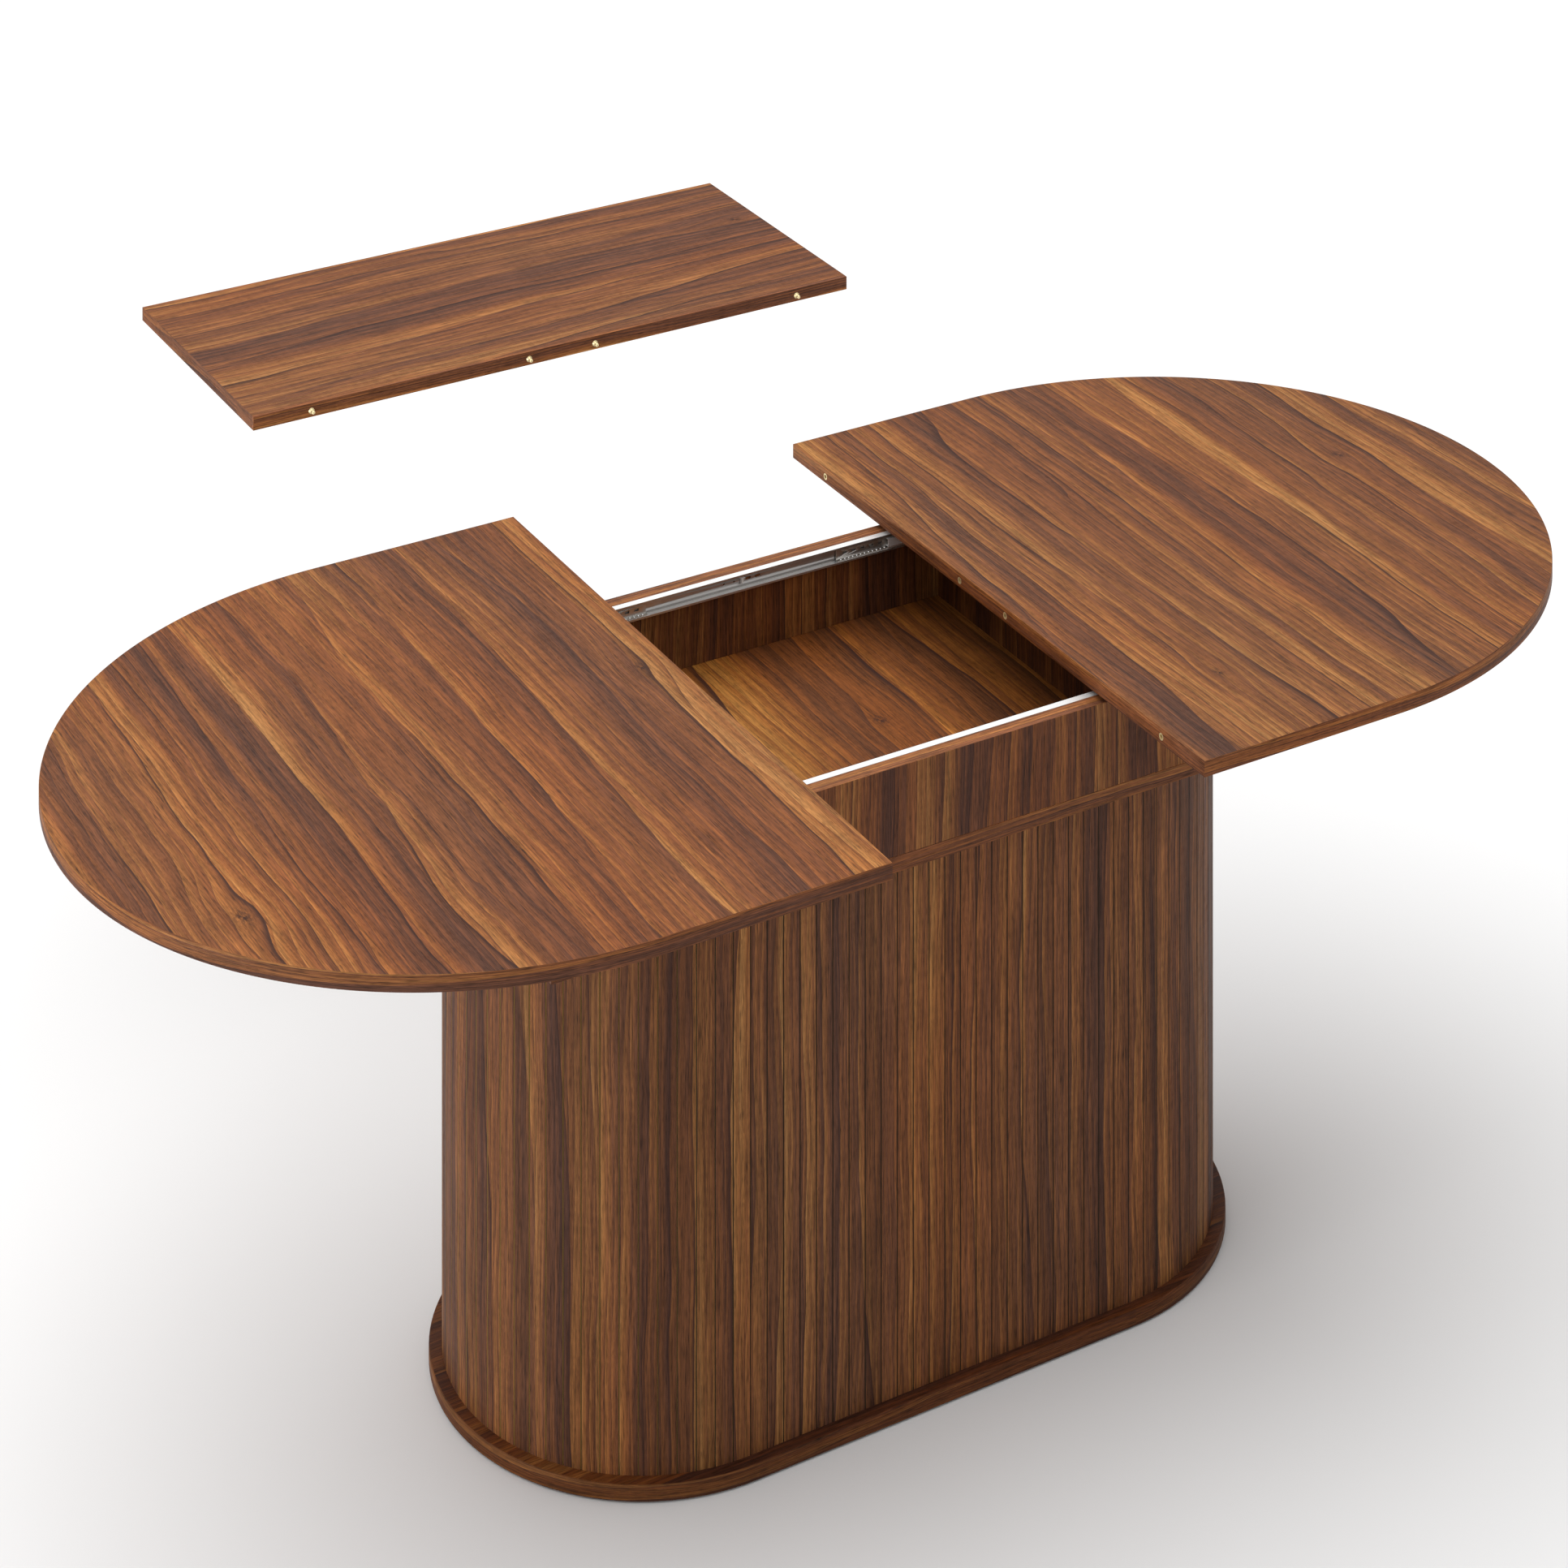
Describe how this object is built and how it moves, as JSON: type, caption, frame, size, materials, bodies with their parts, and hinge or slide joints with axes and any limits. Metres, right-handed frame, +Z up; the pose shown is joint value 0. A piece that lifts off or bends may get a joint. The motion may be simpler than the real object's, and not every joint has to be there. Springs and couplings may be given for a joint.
{
  "type": "extendable dining table",
  "caption": "Oval dining table whose two half tops slide apart over a storage box on a fluted pedestal, with a loose extension leaf.",
  "frame": {"origin": "on the floor, under the middle of the plinth, at the underside of the central glide", "axes": "+X along the table towards the right half, +Y to the rear where the leaf is, +Z up"},
  "size_m": [1.898, 1.681, 0.774],
  "materials": {
    "top_veneer": "satin walnut veneer",
    "leaf_veneer": "satin walnut veneer",
    "leaf_lipping": "satin solid edge strip",
    "flute_veneer": "satin walnut veneer, vertical grain",
    "plinth_veneer": "satin walnut veneer",
    "rail_veneer": "satin walnut veneer",
    "box_floor_veneer": "satin walnut veneer",
    "core_board": "raw board",
    "batten_wood": "stained hardwood",
    "slide_steel": "bright zinc",
    "cage_steel": "passivated",
    "ball_steel": "polished",
    "stop_plastic": "moulded",
    "brass": "turned",
    "screw_steel": "zinc plated",
    "dowel_wood": "fluted beech",
    "glide_felt": "pressed felt"
  },
  "bodies": {
    "base": {"front_fluted_panel": "flute_veneer", "rear_fluted_panel": "flute_veneer", "left_fluted_shell": "flute_veneer", "right_fluted_shell": "flute_veneer", "plinth": "plinth_veneer", "front_rail": "rail_veneer", "rear_rail": "rail_veneer", "left_inner_cross_panel": "rail_veneer", "right_inner_cross_panel": "rail_veneer", "left_end_cross_panel": "rail_veneer", "right_end_cross_panel": "rail_veneer", "box_base_plate": "box_floor_veneer", "column_bottom_former": "core_board", "column_top_former": "core_board", "column_front_board": "core_board", "column_rear_board": "core_board", "column_left_board": "core_board", "column_right_board": "core_board", "column_left_rib": "core_board", "column_right_rib": "core_board", "front_slide_channel": "slide_steel", "rear_slide_channel": "slide_steel", "slide_stops": "stop_plastic", "plinth_screws": "screw_steel", "column_top_screws": "screw_steel", "rail_screws": "screw_steel", "channel_screws": "screw_steel", "panel_dowels": "dowel_wood", "felt_glides": "glide_felt"},
    "left_top": {"left_top": "top_veneer", "left_edge_pins": "brass", "left_front_batten": "batten_wood", "left_rear_batten": "batten_wood", "left_front_slide_member": "slide_steel", "left_rear_slide_member": "slide_steel", "left_member_screws": "screw_steel", "left_batten_screws": "screw_steel"},
    "right_top": {"right_top": "top_veneer", "right_edge_bushes": "brass", "right_front_batten": "batten_wood", "right_rear_batten": "batten_wood", "right_front_slide_member": "slide_steel", "right_rear_slide_member": "slide_steel", "right_member_screws": "screw_steel", "right_batten_screws": "screw_steel"},
    "left_cages": {"left_front_cage": "cage_steel", "left_rear_cage": "cage_steel", "left_front_balls": "ball_steel", "left_rear_balls": "ball_steel"},
    "right_cages": {"right_front_cage": "cage_steel", "right_rear_cage": "cage_steel", "right_front_balls": "ball_steel", "right_rear_balls": "ball_steel"},
    "leaf": {"leaf": "leaf_veneer", "leaf_pin_lipping": "leaf_lipping", "leaf_bush_lipping": "leaf_lipping", "leaf_pins": "brass", "leaf_bushes": "brass"}
  },
  "joints": [
    {"name": "left_top_slide", "type": "slide", "parent": "base", "child": "left_top", "axis": [-1, 0, 0], "range_m": [-0.2007, 0.012]},
    {"name": "left_cage_slide", "type": "slide", "parent": "base", "child": "left_cages", "axis": [-1, 0, 0], "range_m": [-0.1006, 0.0062]},
    {"name": "right_top_slide", "type": "slide", "parent": "base", "child": "right_top", "axis": [1, 0, 0], "range_m": [-0.2007, 0.012]},
    {"name": "right_cage_slide", "type": "slide", "parent": "base", "child": "right_cages", "axis": [1, 0, 0], "range_m": [-0.1006, 0.0062]},
    {"name": "leaf_swing", "type": "hinge", "parent": "base", "child": "leaf", "pos_m": [0.5455, 0.4855, 0.765], "axis": [0, 0, 1], "range_deg": [0, 90]}
  ],
  "couplings": [
    {"joint": "left_cage_slide", "follows": "left_top_slide", "ratio": 0.5},
    {"joint": "right_cage_slide", "follows": "right_top_slide", "ratio": 0.5}
  ]
}
